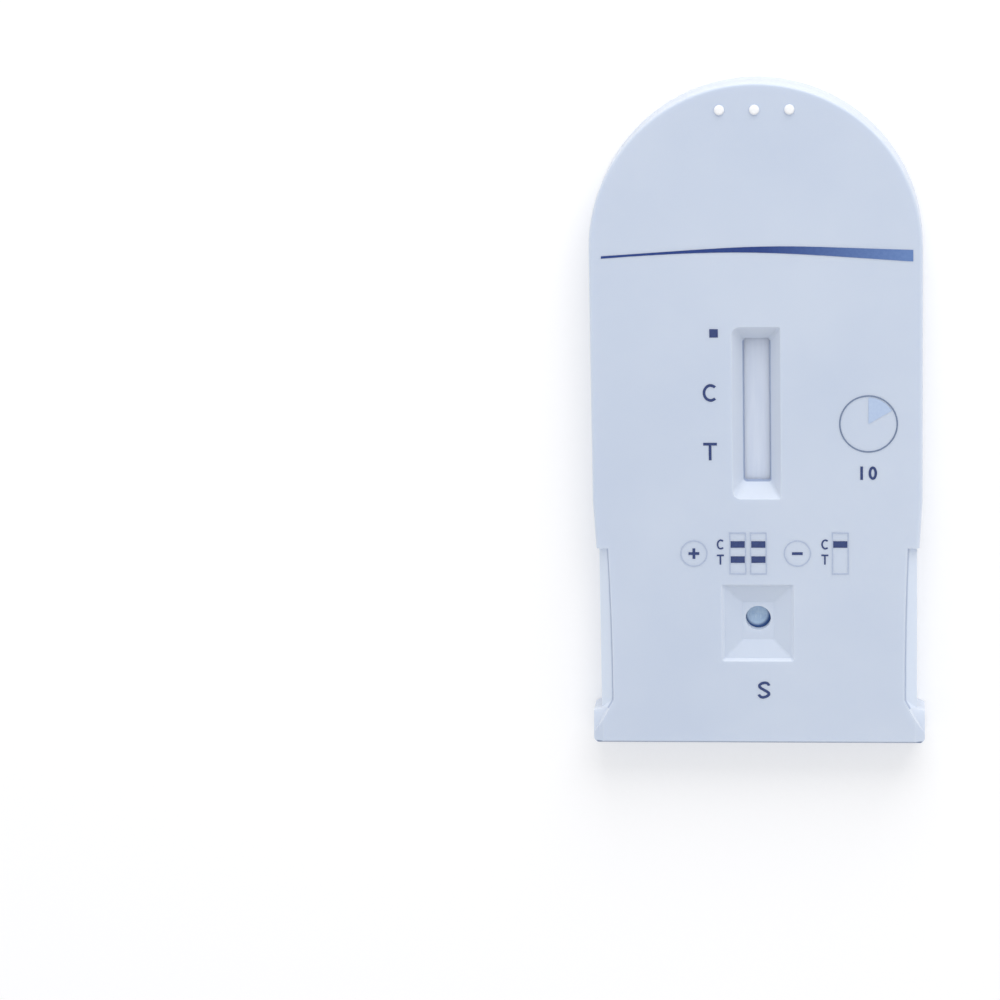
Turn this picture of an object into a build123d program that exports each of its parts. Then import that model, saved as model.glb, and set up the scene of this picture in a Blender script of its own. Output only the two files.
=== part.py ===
from build123d import *
import os
from math import cos, radians, sin

# Lateral flow cassette: a top and a bottom shell pressed together over a test strip.
# Millimetres. The origin is under the middle of the cassette, +Y runs to the arched end,
# and +Z is up from the table to the printed face.

os.makedirs("parts", exist_ok=True)

# Overall size
length = 71.4
body_width = 35.0
thickness = 5.2

# Plan outline: lengths along the cassette from the foot end, and insets from the body's sides
foot_length = 3.3
foot_flare = 0.3
foot_corner_radius = 0.5
foot_step_run = 0.3
scoop_length = 18.3
taper_length = 5.3
shoulder_inset = 0.3
waist_inset = 0.55

# Grip scoops in the top shell: a short steep step below the face, then a gentle slope
scoop_start_inset = 1.6
scoop_middle_inset = 1.87
scoop_end_inset = 1.93
scoop_step_run = 0.2
scoop_step_depth = 0.5
scoop_depth = 1.35
scoop_ramp = 0.6
scoop_end_above_step = 1.45
scoop_tail_slope = 1.83
cutter_margin = 1.3

# Bevels along the foot's sides, which the scoops run out into
foot_bevel_width = 1.05
foot_bevel_depth = 0.5

# Shell walls
wall = 1.3
grip_wall = 1.0
top_plate = 1.1
base_plate = 1.1
seam_height = 2.4
face_edge_radius = 0.3
base_edge_radius = 0.4

# Test strip, a card with a membrane and three pads lapped along it
strip_width = 4.0
strip_from_foot = 4.6
strip_from_crest = 6.8
card_thickness = 0.3
membrane_length = 25.0
membrane_thickness = 0.15
conjugate_thickness = 0.35
sample_pad_thickness = 0.6
absorbent_pad_thickness = 0.7
pad_lap = 2.0
pad_ramp = 0.8

# Bed and rails for the strip, on the base plate
bed_height = 0.9
bed_rib_width = 0.8
bed_rib_count = 7
rail_clearance = 0.15
rail_thickness = 0.8
rail_above_card = 0.25

# Window over the membrane
window_from_foot = 36.3
window_width = 5.17
window_length = 18.65
window_outer_corner = 0.9
window_inner_corner = 0.3
window_slope_depth = 2.0
window_side_slope = 1.13
window_end_slope = 1.55
throat_draft = 0.12
throat_outer_corner = 0.4
throat_inner_corner = 0.3
throat_above_membrane = 0.3
funnel_wall = 1.1

# Sample well over the sample pad
well_from_foot = 13.38
well_width = 7.74
well_length = 8.52
well_rim_run = 0.3
well_rim_depth = 0.3
well_side_slope = 1.9
well_end_slope = 1.9
well_depth = 1.0
well_corner_radius = 0.25
well_floor_corner_radius = 0.2
well_floor_above_pad = 0.15
sample_hole_diameter = 2.7
sample_hole_offset = 0.29
well_wall = 1.2
well_lap_clearance = 0.4

# Press pins on the top shell and their sockets on the bottom shell
pin_diameter = 1.6
pin_clearance = 0.06
pin_tip_clearance = 0.3
pin_shoulder = 0.7
socket_wall = 0.74
pin_inset = 4.2
pin_row_count = 4
pin_low_row_from_foot = 6.2
pin_high_row_past_arch_centre = 2.8

# Press bars under the top plate
press_bar_width = 0.8
press_bar_overhang = 0.4

# Pips by the crest of the arch
pip_diameter = 1.1
pip_height = 0.32
pip_straight_side = 0.04
pip_pitch = 3.65
pip_from_crest = 2.8

# Print, a thin coat of ink on the face
ink_thickness = 0.03
divider_left_margin = 1.3
divider_left_above_arch_centre = -0.64
divider_left_thickness = 0.26
divider_right_margin = 1.02
divider_right_above_arch_centre = -0.16
divider_right_thickness = 1.23
divider_upper_bend = ((-6.0, 0.01), (2.0, 0.3), (9.0, 0.13))
divider_lower_bend = ((6.5, -0.66), (-1.5, -0.32), (-6.0, -0.36))
letter_stroke = 0.29
letter_width = 1.45
letter_height = 1.9
letter_from_centreline = 4.93
control_letter_offset = 2.25
test_letter_offset = -4.1
square_mark_size = 0.9
square_mark_from_centreline = 4.44
square_mark_offset = 8.66
letter_mouth_angle = 48.0
sample_letter_width = 1.46
sample_letter_from_centreline = 0.6
sample_letter_gap = 2.22
sample_letter_upper_bend = ((0.9, 0.62), (0.1, 1), (-0.85, 0.6))
sample_letter_lower_bend = ((0.9, -0.55), (0, -1), (-0.95, -0.62))
timer_radius = 3.1
timer_line = 0.16
timer_sector_gap = 0.1
timer_sector_angle = 60.0
timer_from_side = 5.7
timer_from_window = -1.15
timer_number_height = 1.45
timer_number_width = 0.9
timer_number_stroke = 0.28
timer_number_gap = 1.5
key_gap = 1.11
key_dial_radius = 1.45
key_line = 0.13
key_sign_size = 1.15
key_sign_stroke = 0.3
key_dial_xs = (-6.77, 4.24)
key_letter_xs = (-3.95, 7.16)
key_letter_height = 1.1
key_letter_width = 0.75
key_letter_stroke = 0.17
key_box_width = 1.8
key_box_height = 4.6
key_box_xs = ((-2.1, 0.1), (8.8,))
key_bar_width = 1.5
key_bar_height = 0.72
key_row_pitch = 1.66
key_row_rise = 1.0

# Worked out from the sizes above
foot_y = -length / 2
crest_y = length / 2
arch_radius = body_width / 2
arch_y = crest_y - arch_radius
step_y = foot_y + foot_length
notch_y = step_y + scoop_length
taper_y = notch_y + taper_length
plate_underside = thickness - top_plate
foot_half = body_width / 2 + foot_flare
waist_half = body_width / 2 - waist_inset
scoop_end_half = body_width / 2 - scoop_end_inset

window_y = foot_y + window_from_foot
throat_width = window_width - 2 * window_side_slope
throat_length = window_length - 2 * window_end_slope
throat_top_z = thickness - window_slope_depth

well_y = foot_y + well_from_foot
well_rim_width = well_width - 2 * well_rim_run
well_rim_length = well_length - 2 * well_rim_run
well_floor_width = well_rim_width - 2 * well_side_slope
well_floor_length = well_rim_length - 2 * well_end_slope
well_floor_z = thickness - well_depth
well_box_high_y = well_y + well_floor_length / 2 + well_wall

strip_low_y = foot_y + strip_from_foot
strip_high_y = crest_y - strip_from_crest
strip_length = strip_high_y - strip_low_y
strip_middle_y = (strip_low_y + strip_high_y) / 2
bed_z = base_plate + bed_height
card_top = bed_z + card_thickness
membrane_top = card_top + membrane_thickness
membrane_low_y = window_y - membrane_length / 2
membrane_high_y = window_y + membrane_length / 2
conjugate_low_y = well_box_high_y + well_lap_clearance + pad_ramp
sample_high_y = conjugate_low_y + pad_lap
well_underside = card_top + sample_pad_thickness + well_floor_above_pad
throat_low_z = membrane_top + throat_above_membrane

pin_x = body_width / 2 - pin_inset
pin_low_y = foot_y + pin_low_row_from_foot
pin_high_y = arch_y + pin_high_row_past_arch_centre
pin_middle_y = (pin_low_y + pin_high_y) / 2
pin_pitch = (pin_high_y - pin_low_y) / (pin_row_count - 1)

key_y = well_y + well_length / 2 + key_gap + key_box_height / 2
timer_x = body_width / 2 - timer_from_side
timer_y = window_y + timer_from_window


def save(part, name):
    """Labels a finished piece and writes it under its own name."""
    part.label = name
    export_step(part, f"parts/{name}.step")


def full_outline():
    """Plan outline of both shells before the waist is cut."""
    with BuildSketch() as outline:
        with BuildLine():
            right = Polyline(
                (0, foot_y),
                (foot_half, foot_y),
                (foot_half, step_y),
                (body_width / 2 - shoulder_inset, notch_y),
                (body_width / 2, taper_y),
                (body_width / 2, arch_y),
            )
            RadiusArc(right @ 1, (0, crest_y), -arch_radius)
            mirror(about=Plane.YZ)
        make_face()
        foot_corners = outline.vertices().group_by(Axis.Y)[0]
        fillet(foot_corners, radius=foot_corner_radius)
    return outline.sketch


def cavity_outline():
    """Plan outline of the hollow between the shells."""
    half = body_width / 2 - wall
    grip_half = scoop_end_half - grip_wall
    with BuildSketch() as cavity:
        with BuildLine():
            right = Polyline(
                (0, foot_y + wall),
                (grip_half, foot_y + wall),
                (grip_half, notch_y),
                (half, notch_y + wall),
                (half, arch_y),
            )
            RadiusArc(right @ 1, (0, crest_y - wall), -half)
            mirror(about=Plane.YZ)
        make_face()
    return cavity.sketch


def waist_cutter():
    """Two upright blocks that narrow the grip below the shoulders."""
    reach = foot_half + cutter_margin
    with BuildPart() as cutter:
        with BuildSketch():
            with BuildLine():
                Polyline(
                    (waist_half, notch_y),
                    (waist_half, step_y + foot_step_run),
                    (foot_half, step_y),
                    (reach, step_y),
                    (reach, notch_y),
                    close=True,
                )
            make_face()
            mirror(about=Plane.YZ)
        extrude(amount=thickness)
    return cutter.part


def scoop_crease_sketch(outward):
    """Outside of the scoop's bent crease line, which lies further out by the distance given."""
    reach = foot_half + cutter_margin
    start_half = body_width / 2 - scoop_start_inset + outward
    middle_half = body_width / 2 - scoop_middle_inset + outward
    end_half = scoop_end_half + outward
    end_y = step_y + scoop_end_above_step
    tail_y = end_y - (reach - end_half) * scoop_tail_slope
    with BuildSketch() as outside:
        with BuildLine():
            Spline((start_half, notch_y), (middle_half, (notch_y + end_y) / 2), (end_half, end_y))
            Polyline((end_half, end_y), (reach, tail_y), (reach, notch_y), (start_half, notch_y))
        make_face()
    return outside.sketch


def scoop_cutter():
    """Grip scoops: a step along a bent crease, then a ruled slope out to the waist's straight side."""
    reach = foot_half + cutter_margin
    ramp_y = notch_y - scoop_ramp
    with BuildPart() as cutter:
        with BuildSketch(Plane.XY.offset(thickness)):
            add(scoop_crease_sketch(0))
        with BuildSketch(Plane.XY.offset(thickness - scoop_step_depth)):
            add(scoop_crease_sketch(scoop_step_run))
        loft(ruled=True)
        with BuildSketch(Plane.XY.offset(thickness - scoop_step_depth)):
            add(scoop_crease_sketch(scoop_step_run))
        with BuildSketch(Plane.XY.offset(thickness - scoop_depth)):
            with BuildLine():
                Polyline(
                    (waist_half, ramp_y),
                    (waist_half, step_y + foot_step_run),
                    (reach, step_y),
                    (reach, ramp_y),
                    close=True,
                )
            make_face()
        loft(ruled=True)
        mirror(about=Plane.YZ)
    return cutter.part


def foot_bevel_cutter():
    """Wedges that bevel the face along the foot's sides, up to where the scoops end."""
    inner = foot_half - foot_bevel_width
    fall = foot_bevel_depth * (foot_bevel_width + cutter_margin) / foot_bevel_width
    with BuildPart() as cutter:
        with BuildSketch(Plane.XZ.offset(-foot_y)):
            with BuildLine():
                Polyline(
                    (inner, thickness),
                    (foot_half + cutter_margin, thickness - fall),
                    (foot_half + cutter_margin, thickness),
                    close=True,
                )
            make_face()
        extrude(amount=-foot_length - scoop_end_above_step)
        mirror(about=Plane.YZ)
    return cutter.part


def window_sketch(width, long_side, left_corner, right_corner):
    """Window outline: its left corners are rounder than its right ones."""
    with BuildSketch() as outline:
        with Locations((0, window_y)):
            Rectangle(width, long_side)
        fillet(outline.vertices().group_by(Axis.X)[0], radius=left_corner)
        fillet(outline.vertices().group_by(Axis.X)[-1], radius=right_corner)
    return outline.sketch


def well_sketch(width, long_side, corner):
    """Rounded square of the sample well."""
    with BuildSketch() as outline:
        with Locations((0, well_y)):
            RectangleRounded(width, long_side, corner)
    return outline.sketch


def lapped_pad(start_y, lap_y, laid_on, pad_thickness):
    """Pad on the card from start_y on, whose last stretch to lap_y lies over another layer."""
    run = 1 if lap_y > start_y else -1
    step = lap_y - run * pad_lap
    low = card_top
    lifted = card_top + laid_on
    with BuildPart() as pad:
        with BuildSketch(Plane.YZ.offset(-strip_width / 2)):
            with BuildLine():
                Polyline(
                    (start_y, low),
                    (step, low),
                    (step, lifted),
                    (lap_y, lifted),
                    (lap_y, lifted + pad_thickness),
                    (step, lifted + pad_thickness),
                    (step - run * pad_ramp, low + pad_thickness),
                    (start_y, low + pad_thickness),
                    close=True,
                )
            make_face()
        extrude(amount=strip_width)
    return pad.part


def pin_circles(diameter):
    """One circle at each press pin."""
    with BuildSketch() as circles:
        with Locations((0, pin_middle_y)):
            with GridLocations(2 * pin_x, pin_pitch, 2, pin_row_count):
                Circle(diameter / 2)
    return circles.sketch


def bottom_shell():
    """Bottom half: a tray with the strip's bed, its rails and the pin sockets."""
    socket_bore = pin_diameter + 2 * pin_clearance
    rail_x = strip_width / 2 + rail_clearance
    ring_width = 2 * (rail_x + rail_thickness)
    ring_length = strip_length + 2 * (rail_clearance + rail_thickness)
    rib_pitch = (strip_length - bed_rib_width) / (bed_rib_count - 1)
    with BuildPart() as shell:
        add(full_outline())
        extrude(amount=seam_height)
        fillet(shell.faces().sort_by(Axis.Z)[0].edges(), radius=base_edge_radius)
        with BuildSketch(Plane.XY.offset(base_plate)):
            add(cavity_outline())
        extrude(amount=seam_height, mode=Mode.SUBTRACT)
        add(waist_cutter(), mode=Mode.SUBTRACT)
        # Rails and end stops round the strip
        with BuildSketch(Plane.XY.offset(base_plate)):
            with Locations((0, strip_middle_y)):
                Rectangle(ring_width, ring_length)
                Rectangle(2 * rail_x, strip_length + 2 * rail_clearance, mode=Mode.SUBTRACT)
        extrude(amount=card_top + rail_above_card - base_plate)
        # Ribs that the card lies on
        with BuildSketch(Plane.XY.offset(base_plate)):
            with Locations((0, strip_middle_y)):
                with GridLocations(0, rib_pitch, 1, bed_rib_count):
                    Rectangle(2 * rail_x, bed_rib_width)
        extrude(amount=bed_height)
        # Sockets for the pins
        with BuildSketch(Plane.XY.offset(base_plate)):
            add(pin_circles(socket_bore + 2 * socket_wall))
        extrude(amount=seam_height - base_plate)
        with BuildSketch(Plane.XY.offset(base_plate)):
            add(pin_circles(socket_bore))
        extrude(amount=seam_height - base_plate, mode=Mode.SUBTRACT)
    return shell.part


def top_shell():
    """Top half: plate and skirt, with the window, the sample well, the pins and the press bars."""
    throat_low_width = throat_width - 2 * throat_draft
    throat_low_length = throat_length - 2 * throat_draft
    pin_tip_z = base_plate + pin_tip_clearance
    bar_length = strip_width + 2 * press_bar_overhang
    press_points = [
        (sample_high_y - pad_lap / 2, card_top + conjugate_thickness + sample_pad_thickness),
        (membrane_high_y - pad_lap / 2, membrane_top + absorbent_pad_thickness),
        (strip_high_y - pad_lap, card_top + absorbent_pad_thickness),
    ]
    with BuildPart() as shell:
        with BuildSketch(Plane.XY.offset(seam_height)):
            add(full_outline())
        extrude(amount=thickness - seam_height)
        fillet(shell.faces().sort_by(Axis.Z)[-1].edges(), radius=face_edge_radius)
        with BuildSketch(Plane.XY.offset(seam_height)):
            add(cavity_outline())
        extrude(amount=plate_underside - seam_height, mode=Mode.SUBTRACT)
        add(waist_cutter(), mode=Mode.SUBTRACT)
        add(scoop_cutter(), mode=Mode.SUBTRACT)
        add(foot_bevel_cutter(), mode=Mode.SUBTRACT)
        # Boxes under the plate that the window and the well are cut in
        with BuildSketch(Plane.XY.offset(throat_low_z)):
            with Locations((0, window_y)):
                RectangleRounded(
                    throat_width + 2 * funnel_wall, throat_length + 2 * funnel_wall, funnel_wall
                )
        extrude(until=Until.NEXT)
        with BuildSketch(Plane.XY.offset(well_underside)):
            with Locations((0, well_y)):
                RectangleRounded(
                    well_floor_width + 2 * well_wall, well_floor_length + 2 * well_wall, well_wall
                )
        extrude(until=Until.NEXT)
        # Window: a gentle slope, then a steep throat down to the membrane
        with BuildSketch(Plane.XY.offset(thickness)):
            add(window_sketch(window_width, window_length, window_outer_corner, window_inner_corner))
        with BuildSketch(Plane.XY.offset(throat_top_z)):
            add(window_sketch(throat_width, throat_length, throat_outer_corner, throat_inner_corner))
        loft(mode=Mode.SUBTRACT)
        with BuildSketch(Plane.XY.offset(throat_top_z)):
            add(window_sketch(throat_width, throat_length, throat_outer_corner, throat_inner_corner))
        with BuildSketch(Plane.XY.offset(throat_low_z)):
            add(
                window_sketch(
                    throat_low_width,
                    throat_low_length,
                    throat_outer_corner - throat_draft,
                    throat_inner_corner - throat_draft,
                )
            )
        loft(mode=Mode.SUBTRACT)
        # Sample well: a steep rim, a gentle slope to the floor, and the hole
        with BuildSketch(Plane.XY.offset(thickness)):
            add(well_sketch(well_width, well_length, well_corner_radius))
        with BuildSketch(Plane.XY.offset(thickness - well_rim_depth)):
            add(well_sketch(well_rim_width, well_rim_length, well_floor_corner_radius))
        loft(mode=Mode.SUBTRACT)
        with BuildSketch(Plane.XY.offset(thickness - well_rim_depth)):
            add(well_sketch(well_rim_width, well_rim_length, well_floor_corner_radius))
        with BuildSketch(Plane.XY.offset(well_floor_z)):
            add(well_sketch(well_floor_width, well_floor_length, well_floor_corner_radius))
        loft(mode=Mode.SUBTRACT)
        with BuildSketch(Plane.XY.offset(well_underside)):
            with Locations((0, well_y + sample_hole_offset)):
                Circle(sample_hole_diameter / 2)
        extrude(amount=well_floor_z - well_underside, mode=Mode.SUBTRACT)
        # Pins, with shoulders that meet the socket bosses at the seam
        with BuildSketch(Plane.XY.offset(seam_height)):
            add(pin_circles(pin_diameter + 2 * pin_shoulder))
        extrude(amount=plate_underside - seam_height)
        with BuildSketch(Plane.XY.offset(pin_tip_z)):
            add(pin_circles(pin_diameter))
        extrude(amount=seam_height - pin_tip_z)
        # Bars that hold the pads down
        for bar_y, bar_z in press_points:
            with BuildSketch(Plane.XY.offset(bar_z)):
                with Locations((0, bar_y)):
                    Rectangle(bar_length, press_bar_width)
            extrude(amount=plate_underside - bar_z)
        # Pips by the crest
        with BuildSketch(Plane.XY.offset(thickness)):
            with Locations((0, crest_y - pip_from_crest)):
                with GridLocations(pip_pitch, 0, 3, 1):
                    Circle(pip_diameter / 2)
        extrude(amount=pip_height)
        fillet(shell.edges().group_by(Axis.Z)[-1], radius=pip_height - pip_straight_side)
    return shell.part


def card_layer(low_y, high_y, low_z, layer_thickness):
    """Flat layer of the strip, as wide as the card."""
    with BuildPart() as layer:
        with BuildSketch(Plane.XY.offset(low_z)):
            with Locations((0, (low_y + high_y) / 2)):
                Rectangle(strip_width, high_y - low_y)
        extrude(amount=layer_thickness)
    return layer.part


def inked(sketch):
    """Ink in the shape of a sketch, lying on the face."""
    with BuildPart() as ink:
        with BuildSketch(Plane.XY.offset(thickness)):
            add(sketch)
        extrude(amount=ink_thickness)
    return ink.part


def divider_line():
    """Long line across the face: it swells from a thin left end to a thick right one."""
    left = (divider_left_margin - body_width / 2, arch_y + divider_left_above_arch_centre)
    right = (body_width / 2 - divider_right_margin, arch_y + divider_right_above_arch_centre)
    left_low = (left[0], left[1] - divider_left_thickness)
    right_low = (right[0], right[1] - divider_right_thickness)
    upper_bend = [(x, arch_y + rise) for x, rise in divider_upper_bend]
    lower_bend = [(x, arch_y + rise) for x, rise in divider_lower_bend]
    with BuildSketch() as line:
        with BuildLine():
            Spline(left, *upper_bend, right)
            Line(right, right_low)
            Spline(right_low, *lower_bend, left_low)
            Line(left_low, left)
        make_face()
    return line.sketch


def letter_c(x, y, width, height, stroke):
    """Round letter, open to the right, whose tips reach the full width."""
    half_wide = (width - stroke) / (1 + cos(radians(letter_mouth_angle)))
    half_high = (height - stroke) / 2
    centre = (x - (width - stroke) / 2 + half_wide, y)
    sweep_angle = 360 - 2 * letter_mouth_angle
    with BuildSketch() as letter:
        with BuildLine():
            EllipticalCenterArc(centre, half_wide, half_high, letter_mouth_angle, arc_size=sweep_angle)
        trace(line_width=stroke)
    return letter.sketch


def letter_t(x, y, width, height, stroke):
    """Upright with a bar across its top."""
    with BuildSketch() as letter:
        with Locations((x, y)):
            Rectangle(stroke, height)
        with Locations((x, y + (height - stroke) / 2)):
            Rectangle(width, stroke)
    return letter.sketch


def window_marks():
    """Letters of the two lines beside the window, and the square mark above them."""
    x = -letter_from_centreline
    with BuildSketch() as marks:
        add(letter_c(x, window_y + control_letter_offset, letter_width, letter_height, letter_stroke))
        add(letter_t(x, window_y + test_letter_offset, letter_width, letter_height, letter_stroke))
        with Locations((-square_mark_from_centreline, window_y + square_mark_offset)):
            Rectangle(square_mark_size, square_mark_size)
    return marks.sketch


def timer_ring():
    """Thin circle of the waiting-time dial."""
    with BuildSketch() as ring:
        with Locations((timer_x, timer_y)):
            Circle(timer_radius)
            Circle(timer_radius - timer_line, mode=Mode.SUBTRACT)
    return ring.sketch


def timer_sector():
    """Filled slice of the dial, clockwise from the top."""
    radius = timer_radius - timer_line - timer_sector_gap
    turn = radians(timer_sector_angle)
    centre = (timer_x, timer_y)
    top = (timer_x, timer_y + radius)
    end = (timer_x + radius * sin(turn), timer_y + radius * cos(turn))
    with BuildSketch() as sector:
        with BuildLine():
            Line(centre, top)
            RadiusArc(top, end, radius)
            Line(end, centre)
        make_face()
    return sector.sketch


def timer_number():
    """Plain number ten under the dial."""
    half_wide = timer_number_width / 2
    half_high = timer_number_height / 2
    stroke = timer_number_stroke
    y = timer_y - timer_radius - timer_number_gap - half_high
    with BuildSketch() as number:
        with Locations((timer_x - half_wide - stroke, y)):
            Rectangle(stroke, timer_number_height)
        with Locations((timer_x + half_wide, y)):
            Ellipse(half_wide, half_high)
            Ellipse(half_wide - stroke, half_high - stroke, mode=Mode.SUBTRACT)
    return number.sketch


def key_outlines():
    """Fine outlines of the key to the results: two dials and three boxes."""
    inner_width = key_box_width - 2 * key_line
    inner_height = key_box_height - 2 * key_line
    with BuildSketch() as outlines:
        with Locations(*[(dial_x, key_y) for dial_x in key_dial_xs]):
            Circle(key_dial_radius)
            Circle(key_dial_radius - key_line, mode=Mode.SUBTRACT)
        with Locations(*[(box_x, key_y) for group in key_box_xs for box_x in group]):
            Rectangle(key_box_width, key_box_height)
            Rectangle(inner_width, inner_height, mode=Mode.SUBTRACT)
    return outlines.sketch


def key_marks():
    """Signs, letters and bars of the key: two bars for a plus, one for a minus."""
    rows = (key_y + key_row_rise, key_y + key_row_rise - key_row_pitch)
    with BuildSketch() as marks:
        with Locations(*[(dial_x, key_y) for dial_x in key_dial_xs]):
            Rectangle(key_sign_size, key_sign_stroke)
        with Locations((key_dial_xs[0], key_y)):
            Rectangle(key_sign_stroke, key_sign_size)
        for letter_x in key_letter_xs:
            add(letter_c(letter_x, rows[0], key_letter_width, key_letter_height, key_letter_stroke))
            add(letter_t(letter_x, rows[1], key_letter_width, key_letter_height, key_letter_stroke))
        for group, bar_rows in zip(key_box_xs, (rows, rows[:1])):
            with Locations(*[(box_x, bar_y) for box_x in group for bar_y in bar_rows]):
                Rectangle(key_bar_width, key_bar_height)
    return marks.sketch


def sample_mark():
    """Letter S of the sample well, a double curve below it and just right of the centreline."""
    x = sample_letter_from_centreline
    y = well_y - well_length / 2 - sample_letter_gap - letter_height / 2
    half_wide = (sample_letter_width - letter_stroke) / 2
    half_high = (letter_height - letter_stroke) / 2
    bends = (*sample_letter_upper_bend, (0, 0), *sample_letter_lower_bend)
    with BuildSketch() as letter:
        with BuildLine():
            Spline(*[(x + half_wide * across, y + half_high * up) for across, up in bends])
        trace(line_width=letter_stroke)
    return letter.sketch


save(bottom_shell(), "bottom_shell")
save(top_shell(), "top_shell")
save(card_layer(strip_low_y, strip_high_y, bed_z, card_thickness), "backing_card")
save(card_layer(membrane_low_y, membrane_high_y, card_top, membrane_thickness), "membrane")
save(
    lapped_pad(conjugate_low_y, membrane_low_y + pad_lap, membrane_thickness, conjugate_thickness),
    "conjugate_pad",
)
save(lapped_pad(strip_low_y, sample_high_y, conjugate_thickness, sample_pad_thickness), "sample_pad")
save(
    lapped_pad(strip_high_y, membrane_high_y - pad_lap, membrane_thickness, absorbent_pad_thickness),
    "absorbent_pad",
)
save(inked(divider_line()), "print_divider")
save(inked(window_marks()), "print_line_letters")
save(inked(timer_ring()), "print_timer_ring")
save(inked(timer_sector()), "print_timer_sector")
save(inked(timer_number()), "print_timer_number")
save(inked(key_outlines()), "print_key_outlines")
save(inked(key_marks()), "print_key_marks")
save(inked(sample_mark()), "print_sample_letter")
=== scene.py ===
"""Lateral flow cassette: finishes, table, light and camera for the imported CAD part."""
import math

import bpy
from mathutils import Matrix, Vector

MM = 0.001

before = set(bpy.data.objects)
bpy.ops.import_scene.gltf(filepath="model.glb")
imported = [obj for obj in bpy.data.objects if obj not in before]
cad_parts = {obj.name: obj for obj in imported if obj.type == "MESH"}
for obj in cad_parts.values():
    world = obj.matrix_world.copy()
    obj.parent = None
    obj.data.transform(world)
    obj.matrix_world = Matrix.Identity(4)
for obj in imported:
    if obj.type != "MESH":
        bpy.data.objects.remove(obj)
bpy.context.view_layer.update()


# Colours, as a camera sees them, 0 to 255. Each finish runs between two of them.

SHELL_COLOUR = (205, 215, 231)
SHELL_COLOUR_DEEP = (199, 210, 228)
CARD_COLOUR = (236, 238, 240)
CARD_COLOUR_DEEP = (232, 234, 237)
MEMBRANE_COLOUR = (219, 227, 241)
MEMBRANE_COLOUR_DEEP = (212, 221, 237)
PAD_COLOUR = (200, 221, 240)
PAD_COLOUR_DEEP = (174, 200, 228)
# painted shade: the dark ring round the pad under the sample hole
HOLE_SHADE_COLOUR = (60, 92, 148)
NAVY_COLOUR = (34, 52, 104)
NAVY_COLOUR_WORN = (46, 66, 120)
DIVIDER_DARK = (12, 46, 118)
DIVIDER_DARK_WORN = (22, 58, 128)
DIVIDER_LIGHT = (92, 124, 180)
DIVIDER_LIGHT_WORN = (104, 134, 188)
LINE_COLOUR = (104, 120, 150)
LINE_COLOUR_WORN = (122, 138, 166)
OUTLINE_COLOUR = (172, 185, 210)
OUTLINE_COLOUR_WORN = (182, 194, 217)
SECTOR_COLOUR = (176, 195, 226)
SECTOR_COLOUR_WORN = (184, 202, 230)
TABLE_COLOUR = (245, 245, 246)


# Colours by place, most of them painted light and shade. Lengths are along the cassette's own
# axes, in metres.

# half the width of the soft edge between two areas of colour on the shells
SOFT_EDGE = 0.05 * MM

# painted light: moulded slopes and walls are painted paler than the flat face, as if more light
# fell on them, from the first tilt to the second;
# a tilt is the upward share of the surface's direction
SLOPE_LIGHT_COLOUR = (216, 224, 237)
SLOPE_START = 0.93
SLOPE_END = 0.55

# painted light and shade: the grips' slopes are painted paler still, and the step above them is
# painted dark as shade
GRIP_LIGHT_COLOUR = (218, 228, 243)
GRIP_STEP_SHADE_COLOUR = (174, 187, 211)
GRIP_SIDE = 15.45 * MM
GRIP_LOW_Y = -31.9 * MM
GRIP_HIGH_Y = -14.1 * MM
GRIP_LOW_Z = 3.70 * MM
GRIP_STEP_Z = 4.70 * MM
GRIP_STEP_TOP_Z = 5.12 * MM

# painted shade: the lip of the window's throat is painted dark against the strip, as the shadow
# in the gap under it
LIP_SHADE_COLOUR = (158, 172, 200)
LIP_HALF_WIDTH = 1.60 * MM
LIP_LOW_Y = -7.30 * MM
LIP_HIGH_Y = 8.10 * MM
LIP_LOW_Z = 2.60 * MM
LIP_TOP_Z = 3.26 * MM

# painted shade: the foot's rounded end edge is painted dark
FOOT_EDGE_SHADE_COLOUR = (112, 126, 154)
EDGE_LOW_Y = -35.80 * MM
EDGE_HIGH_Y = -35.52 * MM
EDGE_LOW_Z = 4.85 * MM
EDGE_TOP_Z = 5.15 * MM

# painted highlight: the pips are painted white from the first height to the second
PIP_HIGHLIGHT_COLOUR = (248, 250, 253)
PIP_START = 5.28 * MM
PIP_END = 5.40 * MM

# the divider's ink starts to lighten at the first place along X and is lightest at the second
DIVIDER_FADE_START = 0.5 * MM
DIVIDER_FADE_END = 16.5 * MM

# painted shade: under the sample hole the pad keeps its own colour inside the first radius and is
# painted dark past the second, where the hole's wall shades it
HOLE_SHADE_CENTRE = (-0.12 * MM, -21.91 * MM, 0.0)
HOLE_SHADE_INNER = 1.02 * MM
HOLE_SHADE_OUTER = 1.30 * MM
# the shaded ring is a circle seen from above, so its radii are measured with the height flattened
FLATTENED = (1.0, 1.0, 0.0)


# Textures. Each noise has the size of its patches, its detail and how rough that detail is. A
# stretch is a scale along each axis, and under 1 it draws the noise out. A surface's roughness
# runs from 0, a mirror, to 1, fully matt.

# nearly all of a noise lies between these two values
NOISE_LOW = 0.3
NOISE_HIGH = 0.7

SHELL_CLOUDS = {"size": 14 * MM, "detail": 3.0}
SHELL_SPECKS = {"size": 0.5 * MM}
SHELL_GRAIN = {"size": 0.12 * MM, "detail": 3.0, "roughness": 0.6}
SHELL_GRAIN_DEPTH = 0.004 * MM
SHELL_WAVES = {"size": 6 * MM, "detail": 1.0}
SHELL_WAVE_DEPTH = 0.02 * MM
SHELL_ROUGHNESS = 0.42
SHELL_ROUGHNESS_SWING = 0.06

# how far light spreads inside the shells' pale plastic, alike for red, green and blue
GLOW_WEIGHT = 0.4
GLOW_REACH = 0.8 * MM
GLOW_SPREAD = (1.0, 1.0, 1.0)

CARD_CLOUDS = {"size": 5 * MM}
CARD_GRAIN = {"size": 0.3 * MM}
CARD_GRAIN_DEPTH = 0.002 * MM
CARD_ROUGHNESS = 0.35

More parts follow.
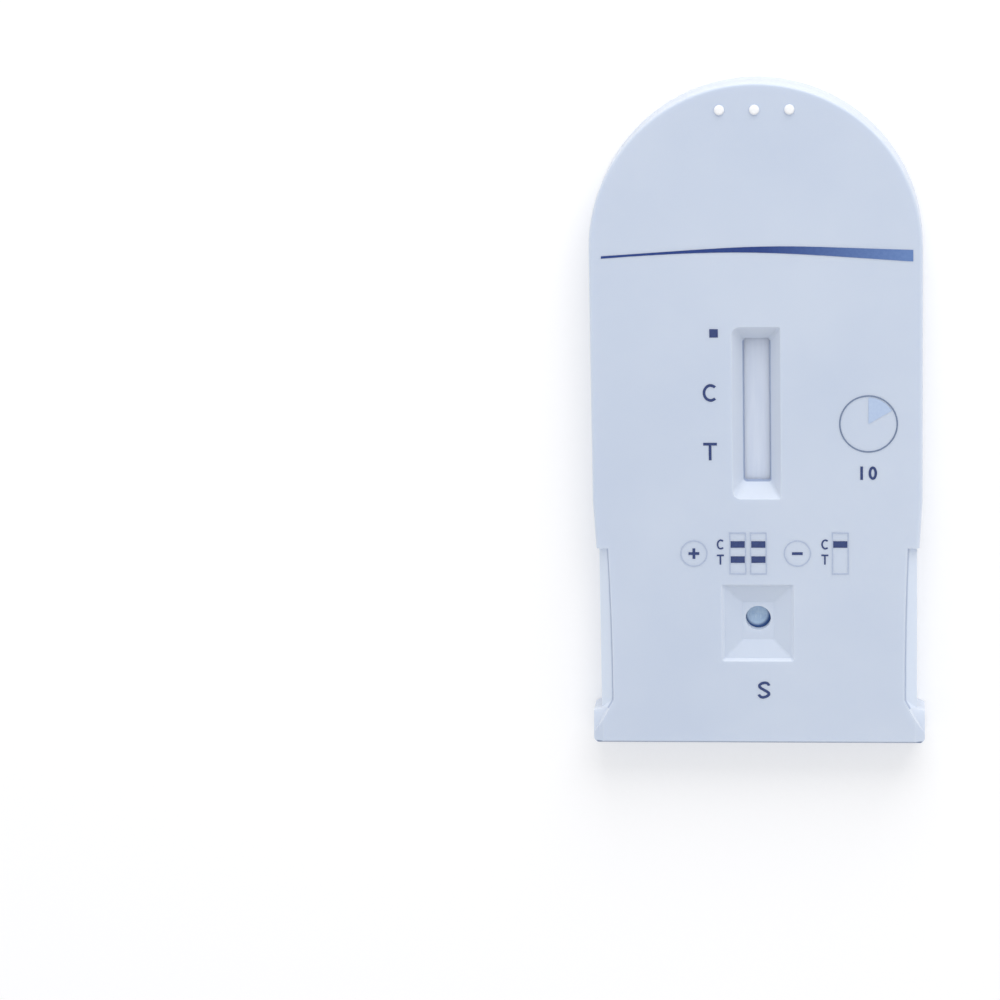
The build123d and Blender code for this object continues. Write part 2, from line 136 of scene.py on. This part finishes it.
MEMBRANE_STREAKS = {"size": 0.5 * MM, "detail": 3.0}
MEMBRANE_STRETCH = (1.0, 0.08, 1.0)
MEMBRANE_PORES = {"size": 0.06 * MM, "detail": 3.0, "roughness": 0.7}
MEMBRANE_PORE_DEPTH = 0.006 * MM
MEMBRANE_ROUGHNESS = 0.7
MEMBRANE_ROUGHNESS_SWING = 0.08

PAD_LONG_FIBRES = {"size": 0.22 * MM, "detail": 4.0, "roughness": 0.65}
PAD_LONG_STRETCH = (1.0, 0.25, 1.0)
PAD_CROSS_FIBRES = {"size": 0.26 * MM, "detail": 4.0, "roughness": 0.65}
PAD_CROSS_STRETCH = (0.25, 1.0, 1.0)
PAD_FIBRE_LOW = 0.4
PAD_FIBRE_DEPTH = 0.05 * MM
PAD_ROUGHNESS = 0.85

INK_MOTTLE = {"size": 0.35 * MM, "detail": 3.0, "roughness": 0.6}
INK_GRAIN = {"size": 0.12 * MM, "detail": 3.0}
INK_GRAIN_DEPTH = 0.003 * MM
INK_ROUGHNESS = 0.45
INK_ROUGHNESS_THICK = 0.40
INK_ROUGHNESS_THIN = 0.53


# Table, light and camera

TABLE_SIZE = 3.0
TABLE_DROP = 0.02 * MM
TABLE_ROUGHNESS = 0.9
TABLE_SHINE = 0.1
# the light of its own that the table adds where a camera sees it
TABLE_LIFT = 0.13

ROOM_COLOUR = (0.98, 0.985, 1.0, 1.0)
ROOM_STRENGTH = 0.79
WHITE = (1.0, 1.0, 1.0, 1.0)

KEY_PLACE = (0.10, 0.54, 0.32)
KEY_SIZE = 0.5
KEY_POWER = 2.1
KEY_COLOUR = (1.0, 0.985, 0.96)

# the roll is in degrees, the lens and the sensor are in millimetres, and the clips are in metres
CAMERA_PLACE = (12.36 * MM, 93.93 * MM, 435.98 * MM)
CAMERA_AIM = (-27.89 * MM, -10.0 * MM, 0.0)
CAMERA_ROLL = -1.27
PICTURE_UP = (0.0, 1.0, 0.0)
CAMERA_LENS = 149.88
SENSOR_WIDTH = 36.0
CLIP_START = 0.01
CLIP_END = 20.0


# Colour and node helpers

# the standard curve from a seen colour to linear light: straight up to a limit, then a power
CURVE_LIMIT = 0.04045
CURVE_SLOPE = 12.92
CURVE_OFFSET = 0.055
CURVE_POWER = 2.4

# a Mix node's colour sockets, by number, because its other sockets have the same names
MIX_FIRST = 6
MIX_SECOND = 7
MIX_RESULT = 2


def linear(colour):
    """A colour of 0 to 255 as the linear values that a shader takes."""
    values = []
    for channel in colour:
        seen = channel / 255
        if seen <= CURVE_LIMIT:
            values.append(seen / CURVE_SLOPE)
        else:
            values.append(((seen + CURVE_OFFSET) / (1 + CURVE_OFFSET)) ** CURVE_POWER)
    return (*values, 1.0)


class Finish:
    """A procedural material and the few kinds of node that these finishes share."""

    def __init__(self, name, roughness):
        self.material = bpy.data.materials.new(name)
        self.material.use_nodes = True
        self.tree = self.material.node_tree
        self.shader = self.tree.nodes["Principled BSDF"]
        self.shader.inputs["Roughness"].default_value = roughness
        self.place = self.tree.nodes.new("ShaderNodeTexCoord").outputs["Object"]

    def link(self, source, target):
        self.tree.links.new(source, target)

    def stretched(self, scale):
        """The object's own coordinates, stretched by a scale along each axis."""
        node = self.tree.nodes.new("ShaderNodeMapping")
        node.inputs["Scale"].default_value = scale
        self.link(self.place, node.inputs["Vector"])
        return node.outputs["Vector"]

    def noise(self, size, detail=2.0, roughness=0.5, place=None):
        """Cloudy noise whose patches are about the given size."""
        node = self.tree.nodes.new("ShaderNodeTexNoise")
        node.inputs["Scale"].default_value = 1 / size
        node.inputs["Detail"].default_value = detail
        node.inputs["Roughness"].default_value = roughness
        self.link(place or self.place, node.inputs["Vector"])
        return node.outputs["Fac"]

    def part_of(self, vector, axis):
        """One axis of a vector."""
        node = self.tree.nodes.new("ShaderNodeSeparateXYZ")
        self.link(vector, node.inputs["Vector"])
        return node.outputs[axis]

    def computed(self, operation, *values):
        """The result of an operation on one or two values."""
        node = self.tree.nodes.new("ShaderNodeMath")
        node.operation = operation
        for number, value in enumerate(values):
            self.link(value, node.inputs[number])
        return node.outputs[0]

    def size_of(self, value):
        """A value without its sign."""
        return self.computed("ABSOLUTE", value)

    def both(self, first, second):
        """The smaller of two values."""
        return self.computed("MINIMUM", first, second)

    def either(self, first, second):
        """The larger of two values."""
        return self.computed("MAXIMUM", first, second)

    def tilt(self):
        """Upward share of the surface's direction, the same for up and down."""
        direction = self.tree.nodes.new("ShaderNodeNewGeometry").outputs["Normal"]
        return self.size_of(self.part_of(direction, "Z"))

    def distance(self, place, centre):
        """How far a place is from a centre."""
        node = self.tree.nodes.new("ShaderNodeVectorMath")
        node.operation = "DISTANCE"
        node.inputs[1].default_value = centre
        self.link(place, node.inputs[0])
        return node.outputs["Value"]

    def spread(self, value, low=0.0, high=1.0, start=NOISE_LOW, end=NOISE_HIGH):
        """A value from start to end, spread over low to high."""
        node = self.tree.nodes.new("ShaderNodeMapRange")
        node.inputs["From Min"].default_value = start
        node.inputs["From Max"].default_value = end
        node.inputs["To Min"].default_value = low
        node.inputs["To Max"].default_value = high
        self.link(value, node.inputs["Value"])
        return node.outputs["Result"]

    def above(self, value, limit):
        """1 where a place is past a limit and 0 before it, with a soft edge."""
        return self.spread(value, start=limit - SOFT_EDGE, end=limit + SOFT_EDGE)

    def below(self, value, limit):
        """1 where a place is before a limit and 0 past it, with a soft edge."""
        return self.spread(value, 1.0, 0.0, limit - SOFT_EDGE, limit + SOFT_EDGE)

    def inside(self, value, low, high):
        """1 where a place is between two limits."""
        return self.both(self.above(value, low), self.below(value, high))

    def between(self, share, first, second):
        """A colour between two, by a share; each is a colour or a link."""
        node = self.tree.nodes.new("ShaderNodeMix")
        node.data_type = "RGBA"
        for value, socket in ((first, MIX_FIRST), (second, MIX_SECOND)):
            if isinstance(value, bpy.types.NodeSocket):
                self.link(value, node.inputs[socket])
            else:
                node.inputs[socket].default_value = value
        self.link(share, node.inputs["Factor"])
        return node.outputs[MIX_RESULT]

    def relief(self, height, depth, under=None):
        """Bump from a height, over the bump below it."""
        node = self.tree.nodes.new("ShaderNodeBump")
        node.inputs["Distance"].default_value = depth
        self.link(height, node.inputs["Height"])
        if under is not None:
            self.link(under, node.inputs["Normal"])
        return node.outputs["Normal"]

    def colour(self, value):
        self.link(value, self.shader.inputs["Base Color"])

    def roughness(self, value):
        self.link(value, self.shader.inputs["Roughness"])

    def normal(self, value):
        self.link(value, self.shader.inputs["Normal"])


# Finishes

def shell_colour(finish):
    """The shells' colour: the plastic's own, then each area of painted light and each of painted
    shade.
    """
    side = finish.size_of(finish.part_of(finish.place, "X"))
    along = finish.part_of(finish.place, "Y")
    height = finish.part_of(finish.place, "Z")

    clouds = finish.noise(**SHELL_CLOUDS)
    plain = finish.between(finish.spread(clouds), linear(SHELL_COLOUR_DEEP), linear(SHELL_COLOUR))

    # painted light: steep slopes and walls paler than the face
    slopes = finish.spread(finish.tilt(), 1.0, 0.0, SLOPE_END, SLOPE_START)

    # painted light on the grips' slopes and painted shade on the step above them
    beside = finish.above(side, GRIP_SIDE)
    grips = finish.both(beside, finish.inside(along, GRIP_LOW_Y, GRIP_HIGH_Y))
    grip_light = finish.both(grips, finish.inside(height, GRIP_LOW_Z, GRIP_STEP_Z))
    grip_step_shade = finish.both(grips, finish.inside(height, GRIP_STEP_Z, GRIP_STEP_TOP_Z))

    # painted shade on the lip of the window's throat
    middle = finish.below(side, LIP_HALF_WIDTH)
    window = finish.both(middle, finish.inside(along, LIP_LOW_Y, LIP_HIGH_Y))
    lip = finish.both(window, finish.inside(height, LIP_LOW_Z, LIP_TOP_Z))

    # painted shade on the foot's rounded end edge
    foot = finish.inside(along, EDGE_LOW_Y, EDGE_HIGH_Y)
    foot_edge_shade = finish.both(foot, finish.inside(height, EDGE_LOW_Z, EDGE_TOP_Z))

    # painted highlight: the pips' tops are painted white
    pips = finish.spread(height, start=PIP_START, end=PIP_END)

    areas = (
        (slopes, SLOPE_LIGHT_COLOUR),
        (grip_light, GRIP_LIGHT_COLOUR),
        (grip_step_shade, GRIP_STEP_SHADE_COLOUR),
        (lip, LIP_SHADE_COLOUR),
        (foot_edge_shade, FOOT_EDGE_SHADE_COLOUR),
        (pips, PIP_HIGHLIGHT_COLOUR),
    )
    colour = plain
    for share, area_colour in areas:
        colour = finish.between(share, colour, linear(area_colour))
    return colour


def shell_plastic():
    """Satin moulded plastic: fine spark-eroded grain, faint flow clouding, painted light and
    shade by place.
    """
    finish = Finish("satin_shell_plastic", SHELL_ROUGHNESS)
    finish.colour(shell_colour(finish))
    finish.shader.inputs["Subsurface Weight"].default_value = GLOW_WEIGHT
    finish.shader.inputs["Subsurface Radius"].default_value = GLOW_SPREAD
    finish.shader.inputs["Subsurface Scale"].default_value = GLOW_REACH
    smooth = SHELL_ROUGHNESS - SHELL_ROUGHNESS_SWING
    rough = SHELL_ROUGHNESS + SHELL_ROUGHNESS_SWING
    finish.roughness(finish.spread(finish.noise(**SHELL_SPECKS), smooth, rough))
    waves = finish.relief(finish.noise(**SHELL_WAVES), SHELL_WAVE_DEPTH)
    finish.normal(finish.relief(finish.noise(**SHELL_GRAIN), SHELL_GRAIN_DEPTH, under=waves))
    return finish.material


def card_plastic():
    """Smooth white card that carries the strip."""
    finish = Finish("white_carrier_card", CARD_ROUGHNESS)
    clouds = finish.spread(finish.noise(**CARD_CLOUDS))
    finish.colour(finish.between(clouds, linear(CARD_COLOUR_DEEP), linear(CARD_COLOUR)))
    finish.normal(finish.relief(finish.noise(**CARD_GRAIN), CARD_GRAIN_DEPTH))
    return finish.material


def membrane_film():
    """Porous film: very fine matt grain with faint streaks along the flow."""
    finish = Finish("porous_membrane_film", MEMBRANE_ROUGHNESS)
    place = finish.stretched(MEMBRANE_STRETCH)
    streaks = finish.spread(finish.noise(**MEMBRANE_STREAKS, place=place))
    finish.colour(finish.between(streaks, linear(MEMBRANE_COLOUR_DEEP), linear(MEMBRANE_COLOUR)))
    pores = finish.noise(**MEMBRANE_PORES)
    smooth = MEMBRANE_ROUGHNESS - MEMBRANE_ROUGHNESS_SWING
    rough = MEMBRANE_ROUGHNESS + MEMBRANE_ROUGHNESS_SWING
    finish.roughness(finish.spread(pores, smooth, rough))
    finish.normal(finish.relief(pores, MEMBRANE_PORE_DEPTH))
    return finish.material


def pad_fibre():
    """Pressed pad: crossing fibres, paler where they stand up, with painted shade round the part
    seen through the sample hole.
    """
    finish = Finish("pressed_fibre_pad", PAD_ROUGHNESS)
    lengthways = finish.noise(**PAD_LONG_FIBRES, place=finish.stretched(PAD_LONG_STRETCH))
    crossways = finish.noise(**PAD_CROSS_FIBRES, place=finish.stretched(PAD_CROSS_STRETCH))
    fibres = finish.either(lengthways, crossways)
    raised = finish.spread(fibres, start=PAD_FIBRE_LOW)
    fibre_tone = finish.between(raised, linear(PAD_COLOUR_DEEP), linear(PAD_COLOUR))
    # painted shade: dark round the part of the pad under the sample hole
    reach = finish.distance(finish.stretched(FLATTENED), HOLE_SHADE_CENTRE)
    hole_shade = finish.spread(reach, start=HOLE_SHADE_INNER, end=HOLE_SHADE_OUTER)
    finish.colour(finish.between(hole_shade, fibre_tone, linear(HOLE_SHADE_COLOUR)))
    finish.normal(finish.relief(fibres, PAD_FIBRE_DEPTH))
    return finish.material


def printed(finish, thick, thin):
    """Pad-printed ink with slight mottling, from where it is thick to where it is thin."""
    mottle = finish.noise(**INK_MOTTLE)
    finish.colour(finish.between(finish.spread(mottle), thick, thin))
    finish.roughness(finish.spread(mottle, INK_ROUGHNESS_THICK, INK_ROUGHNESS_THIN))
    finish.normal(finish.relief(finish.noise(**INK_GRAIN), INK_GRAIN_DEPTH))
    return finish.material


def plain_ink(name, thick, thin):
    """Ink of one colour."""
    return printed(Finish(name, INK_ROUGHNESS), linear(thick), linear(thin))


def divider_ink():
    """The divider's ink, which runs from navy to a mid blue along its length."""
    finish = Finish("divider_ink", INK_ROUGHNESS)
    across = finish.part_of(finish.place, "X")
    faded = finish.spread(across, start=DIVIDER_FADE_START, end=DIVIDER_FADE_END)
    thick = finish.between(faded, linear(DIVIDER_DARK), linear(DIVIDER_LIGHT))
    thin = finish.between(faded, linear(DIVIDER_DARK_WORN), linear(DIVIDER_LIGHT_WORN))
    return printed(finish, thick, thin)


def dress_nodes():
    """Gives each CAD node the finish of its material."""
    shell = shell_plastic()
    card = card_plastic()
    membrane = membrane_film()
    pad = pad_fibre()
    navy = plain_ink("navy_ink", NAVY_COLOUR, NAVY_COLOUR_WORN)
    line = plain_ink("thin_line_ink", LINE_COLOUR, LINE_COLOUR_WORN)
    outline = plain_ink("faint_outline_ink", OUTLINE_COLOUR, OUTLINE_COLOUR_WORN)
    sector = plain_ink("pale_sector_ink", SECTOR_COLOUR, SECTOR_COLOUR_WORN)
    finishes = {
        "top_shell": shell,
        "bottom_shell": shell,
        "backing_card": card,
        "membrane": membrane,
        "conjugate_pad": pad,
        "sample_pad": pad,
        "absorbent_pad": pad,
        "print_divider": divider_ink(),
        "print_line_letters": navy,
        "print_timer_number": navy,
        "print_key_marks": navy,
        "print_sample_letter": navy,
        "print_timer_ring": line,
        "print_key_outlines": outline,
        "print_timer_sector": sector,
    }
    for name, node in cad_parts.items():
        node.data.materials.clear()
        node.data.materials.append(finishes[name])


# Table, light and camera

def pale_table():
    """A plain white table top that keeps the object's shadow."""
    mesh = bpy.data.meshes.new("table_top")
    half = TABLE_SIZE / 2
    sides = ((-half, -half), (half, -half), (half, half), (-half, half))
    corners = [(x, y, -TABLE_DROP) for x, y in sides]
    mesh.from_pydata(corners, [], [(0, 1, 2, 3)])
    table = bpy.data.objects.new("table_top", mesh)
    bpy.context.scene.collection.objects.link(table)

    finish = Finish("table_top_paint", TABLE_ROUGHNESS)
    finish.shader.inputs["Base Color"].default_value = linear(TABLE_COLOUR)
    finish.shader.inputs["Specular IOR Level"].default_value = TABLE_SHINE
    lift = finish.tree.nodes.new("ShaderNodeMath")
    lift.operation = "MULTIPLY"
    lift.inputs[1].default_value = TABLE_LIFT
    finish.link(seen_directly(finish.tree), lift.inputs[0])
    glow = finish.tree.nodes.new("ShaderNodeEmission")
    finish.link(lift.outputs[0], glow.inputs["Strength"])
    lifted = finish.tree.nodes.new("ShaderNodeAddShader")
    finish.link(finish.shader.outputs[0], lifted.inputs[0])
    finish.link(glow.outputs[0], lifted.inputs[1])
    finish.link(lifted.outputs[0], finish.tree.nodes["Material Output"].inputs["Surface"])
    mesh.materials.append(finish.material)


def seen_directly(tree):
    """1 for a camera, mirror or clear ray and 0 for a light ray."""
    path = tree.nodes.new("ShaderNodeLightPath")
    total = path.outputs["Is Camera Ray"]
    for ray in ("Is Glossy Ray", "Is Transmission Ray"):
        higher = tree.nodes.new("ShaderNodeMath")
        higher.operation = "MAXIMUM"
        tree.links.new(total, higher.inputs[0])
        tree.links.new(path.outputs[ray], higher.inputs[1])
        total = higher.outputs[0]
    return total


def room_light():
    """Even pale light from all round, on a white background."""
    world = bpy.data.worlds.new("pale_room")
    world.use_nodes = True
    tree = world.node_tree
    room = tree.nodes["Background"]
    room.inputs["Color"].default_value = ROOM_COLOUR
    room.inputs["Strength"].default_value = ROOM_STRENGTH
    white = tree.nodes.new("ShaderNodeBackground")
    white.inputs["Color"].default_value = WHITE
    mix = tree.nodes.new("ShaderNodeMixShader")
    tree.links.new(seen_directly(tree), mix.inputs["Fac"])
    tree.links.new(room.outputs[0], mix.inputs[1])
    tree.links.new(white.outputs[0], mix.inputs[2])
    tree.links.new(mix.outputs[0], tree.nodes["World Output"].inputs["Surface"])
    bpy.context.scene.world = world


def key_lamp():
    """A large soft lamp behind the arch, slightly to the right."""
    lamp = bpy.data.lights.new("key_lamp", "AREA")
    lamp.size = KEY_SIZE
    lamp.energy = KEY_POWER
    lamp.color = KEY_COLOUR
    holder = bpy.data.objects.new("key_lamp", lamp)
    bpy.context.scene.collection.objects.link(holder)
    holder.location = KEY_PLACE
    holder.rotation_euler = (-Vector(KEY_PLACE)).to_track_quat("-Z", "Y").to_euler()


def camera():
    """The photograph's viewing angle."""
    lens = bpy.data.cameras.new("camera")
    lens.lens = CAMERA_LENS
    lens.sensor_width = SENSOR_WIDTH
    lens.clip_start = CLIP_START
    lens.clip_end = CLIP_END
    holder = bpy.data.objects.new("camera", lens)
    bpy.context.scene.collection.objects.link(holder)
    forward = (Vector(CAMERA_AIM) - Vector(CAMERA_PLACE)).normalized()
    right = forward.cross(Vector(PICTURE_UP)).normalized()
    up = right.cross(forward)
    turn = Matrix.Rotation(math.radians(-CAMERA_ROLL), 3, forward)
    right, up = turn @ right, turn @ up
    facing = Matrix((right, up, -forward)).transposed().to_4x4()
    holder.matrix_world = Matrix.Translation(Vector(CAMERA_PLACE)) @ facing
    bpy.context.scene.camera = holder


dress_nodes()
pale_table()
room_light()
key_lamp()
camera()
bpy.context.scene.view_settings.view_transform = "Standard"
